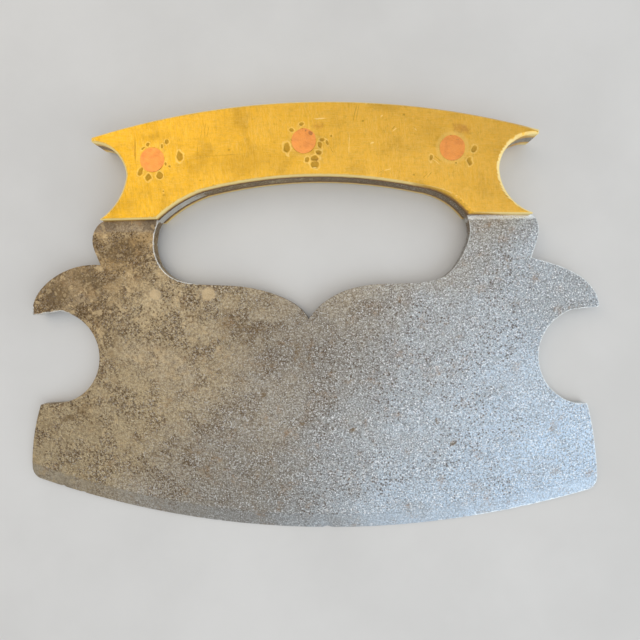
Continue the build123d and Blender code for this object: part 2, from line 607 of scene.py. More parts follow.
class Stroke(Effect):
    """One scratch or pit, in coordinates that run from -1 to 1 along and across it."""

    name = "stroke"
    takes = {"Vector": None, "Inner": 0.6}

    def build(self, bench: Bench, given: Any) -> dict[str, bpy.types.NodeSocket]:
        """Fades the stroke out towards its ends and its sides.

        Args:
            bench: The bench inside the group.
            given: The inputs, by name.

        Returns:
            The outputs, by name.
        """
        out = bench.add("VectorMath", {0: given["Vector"]}, operation="ABSOLUTE").outputs[0]
        along, across, _ = bench.add("SeparateXYZ", {0: out}).outputs
        along, across = (bench.step(part, 1.0, given["Inner"]) for part in (along, across))
        return {"Mask": bench.times(along, across)}


@dataclass
class Effects:
    """Every shared effect, each built once."""

    mottle: Mottle = field(default_factory=Mottle)
    pitting: Pitting = field(default_factory=Pitting)
    brushing: Brushing = field(default_factory=Brushing)
    ragged: Ragged = field(default_factory=Ragged)
    stroke: Stroke = field(default_factory=Stroke)


class Coat:
    """A finish being laid on a piece: its material, and the shared effects at the piece's own places."""

    def __init__(self, name: str, effects: Effects) -> None:
        """Starts the material.

        Args:
            name: The material's name.
            effects: The shared shader groups.
        """
        self.material = bpy.data.materials.new(name)
        self.material.use_nodes = True
        self.material.node_tree.nodes.clear()
        self.bench = Bench(self.material.node_tree)
        self.surface = self.bench.add("BsdfPrincipled")
        self.bench.add("OutputMaterial", {"Surface": self.surface.outputs[0]})
        own = self.bench.add("TexCoord").outputs["Object"]
        in_millimetres = self.bench.add("VectorMath", {0: own, "Scale": 1.0 / MM}, operation="SCALE")
        self.place = in_millimetres.outputs[0]
        self.stroke = partial(effects.stroke.place, self.bench)
        self.mottle, self.pitting, self.brushing, self.ragged = (
            partial(effect.place, self.bench, Vector=self.place)
            for effect in (effects.mottle, effects.pitting, effects.brushing, effects.ragged)
        )

    def marks_and_painted_light(self) -> dict[Mark, bpy.types.NodeSocket]:
        """The four strengths that the piece's points carry.

        Returns:
            For each kind of mark, its strength from 0 to 1.
        """
        attribute = self.bench.add("Attribute", attribute_name="marks_and_painted_light")
        parts = self.bench.add("SeparateColor", {0: attribute.outputs["Color"]})
        return dict(zip(Mark, (*parts.outputs, attribute.outputs["Alpha"])))

    def dress(self, colour: Any, rough: Any, metal: Any = 0.0, relief: Any = None) -> bpy.types.Material:
        """Gives the surface its look.

        Args:
            colour: Its colour.
            rough: Its roughness.
            metal: How metallic it is.
            relief: The height of its fine relief in millimetres, if it has one.

        Returns:
            The finished material.
        """
        self.bench.feed(self.surface, {"Base Color": colour, "Roughness": rough, "Metallic": metal})
        if relief is not None:
            bump = self.bench.add("Bump", {"Height": relief, "Strength": 1.0, "Distance": MM})
            self.bench.feed(self.surface, {"Normal": bump.outputs[0]})
        return self.material


# ---------------------------------------------------------------- finishes


@dataclass(frozen=True)
class SteelFinish:
    """Old plate steel: rusted brown once, now scoured to a pitted grey that is tan on one side, with a
    painted warm reflection in the tan, a painted cool reflection in the blue silver, and painted shade over
    broad places.

    Places are in millimetres. The colour turns where X less slant times Y passes the given pairs, which a
    cloud moves by up to half of drift either way.
    """

    name: str = "pitted_old_steel"
    brown: Colour = (0.420, 0.285, 0.130)
    # tan patina, partly a painted warm reflection
    tan_and_warm_reflection: Colour = (0.560, 0.445, 0.270)
    grey: Colour = (0.455, 0.465, 0.450)
    # blue silver, partly a painted cool reflection
    silver_and_cool_reflection: Colour = (0.560, 0.700, 0.850)
    pit_brown: Colour = (0.100, 0.056, 0.024)
    pit_grey: Colour = (0.150, 0.140, 0.130)
    rust: Colour = (0.200, 0.128, 0.052)
    bloom: Colour = (0.330, 0.190, 0.080)
    ground: Colour = (0.330, 0.350, 0.365)
    # painted shade, laid over broad places: below the middle, in the middle and at both ends
    painted_shade: Colour = (0.250, 0.235, 0.200)
    pale: Colour = (0.620, 0.470, 0.270)
    # filed metal, also laid as painted highlights on the plate's edges
    filed: Colour = (0.860, 0.890, 0.880)
    glint: Colour = (1.000, 1.000, 1.000)
    painted_shade_places: tuple[Spot, ...] = (
        Spot(-20.0, -60.0, 88.0, 84.0, 0.0, 0.55), Spot(-2.0, -9.0, 92.0, 60.0, -12.0, 0.60),
        Spot(-84.0, 12.0, 46.0, 40.0, 0.0, 0.28), Spot(84.0, 4.0, 50.0, 44.0, 0.0, 0.48),
    )
    slant: float = 0.8
    drift: float = 80.0
    to_tan: tuple[float, float] = (-95.0, -50.0)
    to_grey: tuple[float, float] = (-30.0, 42.0)
    to_silver: tuple[float, float] = (35.0, 120.0)
    roughness: float = 0.38

    def make(self, effects: Effects) -> bpy.types.Material:
        """Builds the finish.

        Args:
            effects: The shared shader groups.

        Returns:
            The material.
        """
        coat = Coat(self.name, effects)
        bench, mottle, ragged = coat.bench, coat.mottle, coat.ragged
        marks = coat.marks_and_painted_light()
        worked = marks[Mark.WORKED]
        lean, colour = self.run_of_colours(coat)

        # brown clouds, stains with the painted shade on the walls of the hand opening, and the greyer metal
        # where it was ground
        smoke = mottle(Scale=0.10, Detail=7.0, Rough=0.70, Low=0.50, High=0.72)["Mask"]
        colour = bench.tint(colour, self.rust, smoke, bench.map(lean, -60.0, 60.0, 0.62, 0.30))
        stain = ragged(Amount=marks[Mark.STAIN_AND_SHADE], Scale=0.42, Break=2.2, Level=0.30, Soft=0.55)["Mask"]
        colour = bench.tint(colour, self.rust, stain, 0.70)
        colour = bench.tint(colour, self.ground, worked, 0.35)

        # how loud the grain is: low where the steel was ground, and in calm drifts on the tan side
        calm = mottle(Scale=0.12, Detail=7.0, Rough=0.68, Low=0.40, High=0.56)["Mask"]
        loud = bench.most(calm, bench.map(lean, -50.0, 45.0, 0.42, 0.90))
        loud = bench.times(loud, bench.map(worked, 0.0, 1.0, 1.0, 0.45))
        colour, grain, relief = self.grain(coat, lean, loud, colour)

        # plateaus that never rusted, clean and sharp-edged, and brown pits that gather in drifts
        plateau = mottle(Scale=0.42, Detail=3.0, Rough=0.62, Low=0.585, High=0.615)["Mask"]
        clean = bench.times(plateau, bench.map(lean, -70.0, -15.0, 0.72, 0.0))
        colour = bench.blend(clean, colour, self.pale)
        pits = coat.pitting(Scale=0.9, Radius=0.45, Cloud=0.05, Low=0.46, High=0.60)["Mask"]
        pits = bench.times(pits, bench.map(worked, 0.0, 1.0, 0.85, 0.15))
        pits = bench.times(pits, bench.less(1.0, clean))
        colour = bench.blend(pits, colour, self.pit_brown)

        # the darkest of the stains and of the painted wall shade, orange blooms, pale smooth places, and
        # filed metal with painted highlights along the plate's edges
        colour = bench.tint(colour, self.rust, stain, 0.35)
        bloom = mottle(Scale=0.22, Detail=7.0, Rough=0.78, Low=0.54, High=0.74)["Mask"]
        colour = bench.tint(colour, self.bloom, bloom, 0.60)
        pale = ragged(Amount=marks[Mark.PALE], Scale=0.5, Break=1.3, Level=0.35, Soft=0.50)["Mask"]
        colour = bench.tint(colour, self.pale, pale, 0.65)
        # filed metal, and painted highlights on the plate's edges
        filed = ragged(Amount=marks[Mark.WEAR_AND_HIGHLIGHT], Scale=0.8, Break=1.1, Level=0.30, Soft=0.40)["Mask"]
        colour = bench.tint(colour, self.filed, filed, 0.65)

        # gloss: the scoured metal shines, rust and pits don't
        rough = bench.map(grain, 0.3, 0.7, self.roughness + 0.14, self.roughness - 0.06)
        rough = bench.sum(rough, bench.times(pits, 0.2))
        rough = bench.sum(rough, bench.times(stain, 0.15))
        rough = bench.less(rough, bench.times(filed, 0.10))
        metal = bench.less(0.95, bench.times(stain, 0.4))
        relief = bench.less(relief, bench.times(pits, 0.06))
        return coat.dress(colour, rough, metal, relief)

    def run_of_colours(self, coat: Coat) -> tuple[Any, Any]:
        """Brown at the upper left, then tan, grey and silver down to the lower right, with clouds between;
        the tan is partly a painted warm reflection and the silver partly a painted cool reflection, and broad
        places are darkened with painted shade.

        Args:
            coat: The finish being laid.

        Returns:
            How far down to the right a place lies, and the colour there.
        """
        bench = coat.bench
        across, up, _ = bench.add("SeparateXYZ", {0: coat.place}).outputs
        lean = bench.less(across, bench.times(up, self.slant))
        clouds = coat.mottle(Scale=0.045, Detail=6.0, Rough=0.62)
        lean = bench.sum(lean, bench.times(bench.less(clouds["Height"], 0.5), self.drift))
        # brown and tan patina, grey steel and blue silver; the tan carries a painted warm reflection and the
        # silver a painted cool one
        colour: Any = self.brown
        turns = ((self.to_tan, self.tan_and_warm_reflection), (self.to_grey, self.grey), (self.to_silver, self.silver_and_cool_reflection))
        for (start, end), next_colour in turns:
            colour = bench.blend(bench.map(lean, start, end), colour, next_colour)
        # broad places darkened with painted shade
        for spot in self.painted_shade_places:
            own = bench.from_spot(coat.place, spot)
            out = bench.add("VectorMath", {0: own}, operation="LENGTH").outputs["Value"]
            colour = bench.blend(bench.map(out, 0.2, 1.0, spot.strength, 0.0), colour, self.painted_shade)
        return lean, colour

    def grain(self, coat: Coat, lean: Any, loud: Any, colour: Any) -> tuple[Any, Any, Any]:
        """The grain that old rust leaves: specks and worm tracks, coarse on the tan side, fine on the silver,
        with white flecks of painted glint that grow towards the silver.

        Args:
            coat: The finish being laid.
            lean: How far down to the right a place lies.
            loud: How strong the grain is.
            colour: The colour underneath.

        Returns:
            The colour with the grain and its painted glints, the fine grain's height, and the relief of it
            all.
        """
        bench, mottle = coat.bench, coat.mottle
        coarse = mottle(Scale=0.95, Detail=3.5, Rough=0.72, Low=0.42, High=0.54)
        fine = mottle(Scale=1.75, Detail=3.5, Rough=0.76, Low=0.40, High=0.55)
        on_tan = bench.map(lean, -20.0, 75.0, 1.0, 0.15)
        coarse_specks = bench.times(bench.map(coarse["Mask"], 0.0, 1.0, 0.72, 0.0), on_tan)
        fine_specks = bench.map(fine["Mask"], 0.0, 1.0, 0.66, 0.0)
        pit_colour = bench.blend(bench.map(lean, -10.0, 80.0), self.pit_brown, self.pit_grey)
        colour = bench.tint(colour, pit_colour, coarse_specks, loud)
        colour = bench.tint(colour, pit_colour, fine_specks, loud)

        worms = coat.brushing(Angle=0.0, Scale=0.85, Stretch=1.0, Fine=0.05)["Mask"]
        tracks = bench.times(bench.times(worms, loud), bench.times(on_tan, 0.62))
        colour = bench.blend(tracks, colour, self.pit_brown)
        # white flecks of painted glint, strongest towards the silver side
        painted_glint_flecks = mottle(Scale=2.0, Detail=3.0, Rough=0.70, Low=0.52, High=0.64)["Mask"]
        painted_glint_flecks = bench.times(painted_glint_flecks, bench.map(lean, -60.0, 60.0, 0.16, 0.82))
        colour = bench.tint(colour, self.glint, painted_glint_flecks, loud)

        relief = bench.times(bench.times(fine["Height"], loud), 0.30)
        relief = bench.less(relief, bench.times(tracks, 0.03))
        relief = bench.sum(relief, bench.times(coarse["Height"], 0.08))
        return colour, fine["Height"], relief


@dataclass(frozen=True)
class BrassFinish:
    """Yellow brass, filed and rubbed by hand, with thin patina and small scratches.

    Places are in millimetres.
    """

    name: str = "rubbed_brass"
    golden: Colour = (0.800, 0.440, 0.026)
    rosy: Colour = (0.810, 0.445, 0.060)
    patina: Colour = (0.350, 0.190, 0.020)
    tarnish: Colour = (0.430, 0.150, 0.045)
    # grime, and painted shade on the walls of the hand opening
    grime_and_shade: Colour = (0.110, 0.075, 0.035)
    # worn brass, also laid as painted highlights on the rims
    worn_and_highlit: Colour = (1.000, 0.800, 0.330)
    roughness: float = 0.33
    mid_height: float = 5.5
    scratches: tuple[Spot, ...] = (
        Spot(-33.6, 61.4, 5.0, 0.22, 82.0), Spot(-32.4, 62.2, 6.5, 0.26, 84.0),
        Spot(-31.4, 61.8, 5.0, 0.20, 80.0), Spot(-35.0, 55.6, 5.0, 0.18, 88.0),
        Spot(-25.5, 54.0, 18.0, 0.16, 3.0), Spot(-55.6, 56.0, 9.0, 0.60, 90.0),
        Spot(16.2, 66.2, 7.5, 0.24, 77.0), Spot(17.2, 66.8, 7.0, 0.20, 78.0),
        Spot(28.6, 61.5, 1.9, 0.36, 35.0), Spot(35.3, 61.4, 1.3, 0.26, 120.0),
        Spot(40.0, 46.4, 3.0, 0.24, 47.0), Spot(38.6, 46.0, 2.6, 0.22, 42.0),
        Spot(42.6, 51.4, 3.4, 0.24, -40.0), Spot(8.6, 55.0, 3.0, 0.22, -60.0),
        Spot(24.5, 47.6, 2.4, 0.20, 28.0),
    )
    light_scratches: tuple[Spot, ...] = (
        Spot(14.3, 56.6, 8.5, 0.24, 88.0), Spot(5.0, 65.0, 5.0, 0.55, 2.0),
        Spot(21.7, 56.9, 1.6, 0.50, 20.0), Spot(28.9, 60.9, 2.2, 0.34, 35.0),
        Spot(35.6, 60.9, 1.4, 0.30, 120.0), Spot(26.6, 48.2, 3.0, 0.30, 12.0),
        Spot(42.0, 50.6, 3.6, 0.24, -40.0), Spot(24.8, 65.4, 1.0, 0.50, 40.0),
    )
    pits: tuple[Spot, ...] = (
        Spot(-24.6, 55.6, 1.0, 0.8), Spot(-46.4, 41.5, 1.0, 0.8), Spot(31.9, 65.6, 1.1, 0.9),
        Spot(18.8, 63.9, 0.9, 0.8), Spot(35.0, 46.4, 1.0, 0.8), Spot(-34.2, 46.0, 0.8, 0.7),
        Spot(-30.0, 44.4, 0.8, 0.7),
    )
    shades: tuple[Spot, ...] = (
        Spot(-20.0, 51.5, 46.0, 13.0, 3.0, 0.30), Spot(-49.0, 60.3, 9.0, 5.0, 20.0, 0.38),
        Spot(25.0, 68.2, 14.0, 4.0, -6.0, 0.32), Spot(40.0, 60.0, 16.0, 12.0, 0.0, 0.20),
    )

    def make(self, effects: Effects) -> bpy.types.Material:
        """Builds the finish.

        Args:
            effects: The shared shader groups.

        Returns:
            The material.
        """
        coat = Coat(self.name, effects)
        bench, mottle, ragged = coat.bench, coat.mottle, coat.ragged
        marks = coat.marks_and_painted_light()
        axes = bench.add("SeparateXYZ", {0: coat.place})

        # golden at the left and rosier at the right, with thin patina over it
        colour = bench.blend(bench.map(axes.outputs[0], -60.0, 40.0), self.golden, self.rosy)
        clouds = mottle(Scale=0.085, Detail=6.0, Rough=0.62, Low=0.46, High=0.74)
        colour = bench.tint(colour, self.patina, clouds["Mask"], 0.38)
        haze = mottle(Scale=0.75, Detail=5.0, Rough=0.75, Low=0.46, High=0.74)
        colour = bench.tint(colour, self.patina, haze["Mask"], 0.30)
        rubbed, dull = self.rubbing(coat)
        colour = bench.tint(colour, self.worn_and_highlit, rubbed, 0.30)
        colour = bench.tint(colour, self.patina, dull, 0.22)

        # soft darker places, and single scratches and pits
        drawn = self.hand_drawn(coat, axes)
        for spot in self.shades:
            colour = bench.tint(colour, self.patina, self.lay(coat, drawn, (spot,), 0.0), spot.strength)
        cuts = self.lay(coat, drawn, self.scratches + self.pits, 0.4)
        colour = bench.tint(colour, self.patina, cuts, 0.55)
        glints = self.lay(coat, drawn, self.light_scratches, 0.3)
        colour = bench.tint(colour, self.worn_and_highlit, glints, 0.60)

        # hammer dents and their raised lips, tarnish round the rivets, rims worn bright with painted
        # highlights, and painted shade on the walls of the hand opening
        dent = ragged(Amount=marks[Mark.WORKED], Scale=1.4, Break=0.8, Level=0.20, Soft=0.70)["Mask"]
        colour = bench.tint(colour, self.patina, dent, 0.56)
        # tarnish round the rivets, and painted shade in the tarnish colour on the walls of the hand opening
        stain = ragged(Amount=marks[Mark.STAIN_AND_SHADE], Scale=0.55, Break=1.1, Level=0.12, Soft=0.60)["Mask"]
        colour = bench.tint(colour, self.tarnish, stain, 0.55)
        colour = bench.tint(colour, self.worn_and_highlit, marks[Mark.PALE], 0.34)
        # the rims: worn brass with painted highlights
        worn_and_highlit = ragged(Amount=marks[Mark.WEAR_AND_HIGHLIGHT], Scale=0.5, Break=0.3, Level=0.20, Soft=0.50)["Mask"]
        colour = bench.tint(colour, self.worn_and_highlit, worn_and_highlit, 0.90)
        # painted shade, darkest on the walls of the hand opening, with grime in tarnished dents
        colour = bench.tint(colour, self.grime_and_shade, bench.times(stain, dent), 0.80)

        rough = bench.map(clouds["Height"], 0.3, 0.7, self.roughness - 0.04, self.roughness + 0.08)
        rough = bench.sum(rough, bench.times(bench.most(stain, dent), 0.12))
        rough = bench.sum(rough, bench.times(worn_and_highlit, 0.10))
        metal = bench.map(worn_and_highlit, 0.0, 1.0, 1.0, 0.10)
        relief = bench.sum(bench.times(rubbed, 0.010), bench.times(dull, 0.012))
        relief = bench.less(bench.times(haze["Height"], 0.035), relief)
        return coat.dress(colour, rough, metal, relief)

    def rubbing(self, coat: Coat) -> tuple[Any, Any]:
        """The rubbing marks, which run both ways in patches.

        Args:
            coat: The finish being laid.

        Returns:
            The light lines and the dull ones.
        """
        bench = coat.bench
        along = coat.brushing(Angle=0.06, Scale=2.6, Stretch=0.05, Fine=0.05)["Mask"]
        across = coat.brushing(Angle=1.50, Scale=2.4, Stretch=0.06, Fine=0.05)["Mask"]
        patches = coat.mottle(Scale=0.10, Detail=3.0, Rough=0.5, Low=0.40, High=0.62)["Mask"]
        along = bench.times(along, bench.map(patches, 0.0, 1.0, 0.55, 0.15))
        across = bench.times(across, bench.map(patches, 0.0, 1.0, 0.20, 0.65))
        dull = coat.brushing(Angle=1.42, Scale=1.7, Stretch=0.10, Fine=0.02)["Mask"]
        return bench.sum(along, across), dull

    def hand_drawn(self, coat: Coat, axes: bpy.types.Node) -> bpy.types.NodeSocket:
        """The place on the face, made to wander a little and mirrored on the back scale.

        Args:
            coat: The finish being laid.
            axes: The node that gives the three parts of its place.

        Returns:
            The place to lay strokes at.
        """
        bench = coat.bench
        front = bench.sum(axes.outputs[2], self.mid_height, "GREATER_THAN")
        across = bench.times(axes.outputs[0], bench.map(front, 0.0, 1.0, -1.0, 1.0))
        flat = bench.add("CombineXYZ", {0: across, 1: axes.outputs[1], 2: 0.0}).outputs[0]
        wander = bench.noise(coat.place, 0.9, 3.0).outputs["Color"]
        offset = bench.add("VectorMath", {0: wander, 1: (0.5, 0.5, 0.5)}, operation="SUBTRACT").outputs[0]
        offset = bench.add("VectorMath", {0: offset, "Scale": 0.5}, operation="SCALE").outputs[0]
        return bench.add("VectorMath", {0: flat, 1: offset}, operation="ADD").outputs[0]

    def lay(self, coat: Coat, place: Any, spots: tuple[Spot, ...], inner: float) -> Any:
        """Lays a stroke for each spot.

        Args:
            coat: The finish being laid.
            place: The socket with the place on the face.
            spots: Where the strokes lie.
            inner: The share of its half width at which a stroke begins to fade.

        Returns:
            One mask of them all.
        """
        mask: Any = 0.0
        for spot in spots:
            stroke = coat.stroke(Vector=coat.bench.from_spot(place, spot), Inner=inner)
            mask = coat.bench.most(mask, stroke["Mask"])
        return mask


@dataclass(frozen=True)
class CopperFinish:
    """Copper rivet heads, peened flush and rubbed bright, with brown in the hollows."""

    name: str = "peened_copper"
    bright: Colour = (0.880, 0.340, 0.080)
    dull: Colour = (0.700, 0.250, 0.070)
    brown: Colour = (0.220, 0.060, 0.020)
    rubbed: Colour = (1.000, 0.620, 0.360)
    roughness: float = 0.36

    def make(self, effects: Effects) -> bpy.types.Material:
        """Builds the finish.

        Args:
            effects: The shared shader groups.

        Returns:
            The material.
        """
        coat = Coat(self.name, effects)
        bench, mottle = coat.bench, coat.mottle
        marks = coat.marks_and_painted_light()
        clouds = mottle(Scale=0.45, Detail=5.0, Rough=0.6, Low=0.42, High=0.70)
        colour = bench.tint(self.bright, self.dull, clouds["Mask"], 0.5)
        specks = mottle(Scale=1.8, Detail=4.0, Rough=0.7, Low=0.60, High=0.75)["Mask"]
        colour = bench.tint(colour, self.brown, specks, 0.35)
        stain = coat.ragged(Amount=marks[Mark.STAIN_AND_SHADE], Scale=1.6, Break=0.8, Level=0.35, Soft=0.4)["Mask"]
        colour = bench.tint(colour, self.brown, stain, 0.55)
        lines = coat.brushing(Angle=0.5, Scale=3.0, Stretch=0.06, Fine=0.03)["Mask"]
        colour = bench.tint(colour, self.rubbed, lines, 0.15)
        rough = bench.map(clouds["Height"], 0.3, 0.7, self.roughness - 0.05, self.roughness + 0.10)
        metal = bench.map(stain, 0.0, 1.0, 1.0, 0.6)
        relief = bench.less(bench.times(clouds["Height"], 0.05), bench.times(lines, 0.006))
        return coat.dress(colour, rough, metal, relief)


@dataclass(frozen=True)
class FloorFinish:
    """Plain pale board with hardly any grain."""

    name: str = "pale_board"
    pale: Colour = (0.700, 0.690, 0.670)
    shade: Colour = (0.640, 0.630, 0.610)

    def make(self, effects: Effects) -> bpy.types.Material:
        """Builds the finish.

        Args:
            effects: The shared shader groups.

        Returns:
            The material.
        """
        coat = Coat(self.name, effects)
        clouds = coat.mottle(Scale=0.012, Detail=5.0, Rough=0.6, Low=0.3, High=0.7)
        colour = coat.bench.blend(clouds["Mask"], self.pale, self.shade)
        return coat.dress(colour, coat.bench.map(clouds["Height"], 0.3, 0.7, 0.62, 0.72))


# ---------------------------------------------------------------- the knife's pieces


@dataclass
class Blade:
    """The steel plate: the blade below, and the tang that the scales cover. Sizes are in millimetres."""

    node: str = "blade"
    slot: str = "blade_steel"
    mesh_step: float = 0.62
    edge_break: float = 0.28
    seam_break: float = 0.10
    edge_radius: float = 300.1
    edge_middle: float = 5.0
    sharpened_band: float = 4.5
    edge_land: float = 0.6
    broad_slope: float = 0.7
    wall_slope: float = 0.5
    swell: float = 0.05
    swell_length: float = 9.0
    rough_depth: float = 0.03
    rough_length: float = 1.7
    pit_count: int = 900
    pit_seed: int = 7
    pit_radius: tuple[float, float] = (0.6, 1.5)
    pit_depth: tuple[float, float] = (0.03, 0.09)
    nick_reach: float = 2.5
    crown: tuple[float, float] = (48.0, 50.0)
    filed_width: tuple[float, float] = (0.5, 1.9)
    smoothed_width: tuple[float, float] = (2.6, 4.0)
    light_middle: float = -59.5
    nicks: tuple[Spot, ...] = (
        Spot(6.0, 0.0, 3.8, 0.50), Spot(-85.0, 0.0, 1.6, 0.35), Spot(-78.0, 0.0, 1.4, 0.30),
        Spot(-31.0, 0.0, 1.2, 0.20), Spot(44.0, 0.0, 1.5, 0.22), Spot(71.0, 0.0, 1.1, 0.18),
    )
    stains: tuple[Spot, ...] = (
        Spot(-82.0, -33.0, 7.0, 3.6, 20.0, 0.8), Spot(-78.0, -30.5, 4.0, 3.0, 0.0, 0.8),
        Spot(-15.0, -25.0, 2.0, 2.0, 0.0, 1.0), Spot(-2.0, -35.0, 3.0, 2.2, 0.0, 0.6),
        Spot(43.0, -34.0, 2.4, 3.4, 0.0, 0.7), Spot(48.0, -41.5, 3.0, 2.0, 0.0, 0.7),
        Spot(18.0, -21.0, 2.5, 2.5, 0.0, 0.6), Spot(15.0, -37.0, 3.4, 2.4, 30.0, 0.7),
        Spot(-85.0, 9.0, 13.0, 9.0, 50.0, 0.85), Spot(-62.0, 24.0, 22.0, 10.0, 20.0, 0.60),
        Spot(-74.0, 14.0, 18.0, 7.0, -20.0, 0.65), Spot(-66.0, -8.0, 10.0, 20.0, 0.0, 0.45),
        Spot(-20.0, -4.0, 26.0, 12.0, -10.0, 0.45), Spot(-2.0, -12.0, 14.0, 9.0, -40.0, 0.40),
    )
    pale_places: tuple[Spot, ...] = (
        Spot(-51.0, 9.0, 4.6, 4.4, 0.0, 1.0), Spot(-33.0, 9.0, 5.6, 5.2, 0.0, 1.0),
        Spot(-50.0, -14.0, 34.0, 14.0, -20.0, 0.50), Spot(-76.0, 8.0, 5.0, 4.0, 20.0, 0.55),
    )

    def build(self, steel: bpy.types.Material) -> bpy.types.Object:
        """Makes the plate with its nicks, pits and broken edges.

        Args:
            steel: The plate's finish.

        Returns:
            The finished piece.
        """
        self.low, self.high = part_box(self.node)
        self.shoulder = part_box("front_scale")[0].y
        centre = middle_of(self.node)
        self.centre_x, self.middle = centre.x, centre.z
        work = Workpiece(self.node)
        free, _ = self.sharp_edges(work)
        work.round_edges(free, self.edge_break, 2)
        _, seams = self.sharp_edges(work)
        work.round_edges(seams, self.seam_break, 1)
        outline = points_along(work.border(self.is_plate), 0.3)
        work.rule(0, self.low.x, self.high.x, self.mesh_step, self.is_plate)
        work.rule(1, self.low.y, self.shoulder, self.mesh_step, self.is_plate)
        away = [outline.find(v.co)[2] / MM for v in work.bm.verts]
        self.weather(work, away)
        self.nick(work)
        marks = self.marks(work, away)
        piece = work.finish("plate_blade", marks)
        piece.data.materials.append(steel)
        return piece

    def from_edge(self, point: Vector) -> float:
        """Millimetres from the cutting edge, measured square to its arc.

        Args:
            point: A place in metres.

        Returns:
            The distance, which is less than zero outside the arc.
        """
        centre_y = self.low.y + self.edge_radius * MM
        centre_x = self.centre_x + self.edge_middle * MM
        return self.edge_radius - math.hypot(point.x - centre_x, point.y - centre_y) / MM

    def is_plate(self, face: bmesh.types.BMFace) -> bool:
        """Whether a face is one of the plate's two broad faces."""
        return abs(face.normal.z) > self.broad_slope

    def sharp_edges(self, work: Workpiece) -> tuple[list[Any], list[Any]]:
        """Sorts the edges between the broad faces and the narrow side walls.

        Args:
            work: The plate.

        Returns:
            The free edges of the blade, and those of the tang, which lie against brass.
        """
        free, seams = [], []
        for edge in work.bm.edges:
            if len(edge.link_faces) != 2 or edge.calc_face_angle(0.0) < WALL_ANGLE:
                continue
            middle = middle_of_edge(edge)
            if self.from_edge(middle) < self.edge_land:
                continue
            (seams if middle.y > self.shoulder - 0.05 * MM else free).append(edge)
        return free, seams

    def weather(self, work: Workpiece, away: list[float]) -> None:
        """Lets the broad faces swell and sink a little, and roughens and pits them.

        Args:
            work: The ruled plate.
            away: How far each point is from the plate's outline, in millimetres.
        """
        shift = [0.0] * len(away)
        points = tree_of([v.co for v in work.bm.verts])
        for index, vert in enumerate(work.bm.verts):
            if vert.co.y > self.shoulder or abs(vert.normal.z) < self.broad_slope:
                continue
            side = Vector((0.0, 0.0, 5.0 if vert.co.z > self.middle else -5.0))
            spot = Vector((vert.co.x, vert.co.y, 0.0)) / MM
            broad = noise.fractal(spot / self.swell_length + side, 1.0, 2.0, 3)
            fine = noise.turbulence(spot / self.rough_length + side, 2, False)
            calm = ramp(self.from_edge(vert.co), self.sharpened_band, self.sharpened_band + 2.0)
            shift[index] = calm * (self.swell * (abs(broad) + 0.2) + self.rough_depth * fine)
        draw = random.Random(self.pit_seed)
        size = self.high - self.low
        for _ in range(self.pit_count):
            level = draw.choice((self.low.z, self.high.z))
            centre = Vector((self.low.x + draw.random() * size.x, self.low.y + draw.random() * size.y, level))
            radius = draw.uniform(*self.pit_radius) * MM
            depth = draw.uniform(*self.pit_depth)
            if self.from_edge(centre) < self.sharpened_band + 1.0:
                continue
            for _place, index, distance in points.find_range(centre, radius):
                shift[index] += depth * (1.0 - ramp(distance / radius, 0.2, 1.0))
        for index, vert in enumerate(work.bm.verts):
            amount = shift[index] * ramp(away[index], 0.0, 0.8) * MM
            vert.co.z += -amount if vert.co.z > self.middle else amount

    def nick(self, work: Workpiece) -> None:
        """Knocks small nicks into the cutting edge.

        Args:
            work: The ruled plate.
        """
        for vert in work.bm.verts:
            inset = self.from_edge(vert.co)
            if inset > self.nick_reach or vert.co.y > self.shoulder:
                continue
            across = (vert.co.x - self.centre_x) / MM
            for spot in self.nicks:
                bite = 1.0 - ramp(abs(across - spot.x) / (spot.width / 2.0), 0.0, 1.0)
                vert.co.y += bite * spot.height * (1.0 - ramp(inset, 0.2, self.nick_reach)) * MM

    def marks(self, work: Workpiece, away: list[float]) -> dict[Mark, list[float]]:
        """Where the steel is stained, pale, filed bright or smooth, where its edges carry painted highlights,
        and where the walls of the hand opening carry painted shade.

        Args:
            work: The ruled plate.
            away: How far each point is from the plate's outline, in millimetres.

        Returns:
            The strength of each kind of mark at every point.
        """
        found: dict[Mark, list[float]] = {mark: [] for mark in Mark}
        for vert, distance in zip(work.bm.verts, away):
            x, y = (vert.co.x - self.centre_x) / MM, vert.co.y / MM
            inset = self.from_edge(vert.co)
            below = (self.shoulder - vert.co.y) / MM
            stain = max(s.strength * (1.0 - ramp(s.reach(x, y), 0.35, 1.3)) for s in self.stains)
            pale = max(s.strength * (1.0 - ramp(s.reach(x, y), 0.55, 1.2)) for s in self.pale_places)

            # bright corners, worn and carrying painted highlights: more at the right, beside the opening at
            # the left and under the left hook
            on_right = ramp(x, 20.0, 70.0)
            inside_left = ramp(x, -30.0, -42.0) * ramp(x, -56.0, -53.0) * ramp(y, 6.0, 12.0)
            under_hook = ramp(x, -79.0, -82.0) * ramp(y, 6.0, 5.0) * ramp(y, 0.0, 0.8)
            off_crown = 1.0 - ramp(y, *self.crown)
            at_edge = 1.0 - ramp(distance, 0.1, 0.5)
            bright = at_edge * (0.25 + 0.45 * on_right + 0.6 * inside_left + 0.6 * under_hook) * off_crown

            # the steel below the front scale: filed bright at the right, smoothed and darker at the left but
            # for a lighter middle
            bare = ramp(below, -0.3, -0.1)
            filed_strip = bare * (1.0 - ramp(below, *self.filed_width)) * (0.75 if x > 0.0 else 0.0)
            smoothed_strip = bare * (1.0 - ramp(below, *self.smoothed_width)) * (1.0 if x < 0.0 else 0.0)
            light_middle = 1.0 - ramp(abs(x - self.light_middle), 2.0, 6.0)

            # painted shade: the walls of the hand opening are darkened brown, most of all at the right, and
            # their painted highlights are dimmed there
            is_wall = abs(vert.normal.z) < self.wall_slope
            in_opening = ramp(y, 20.0, 34.0) * off_crown if is_wall else 0.0
            wall_shade = (0.55 + 0.45 * ramp(x, -15.0, 25.0)) * in_opening
            bright *= 1.0 - 0.8 * in_opening * on_right

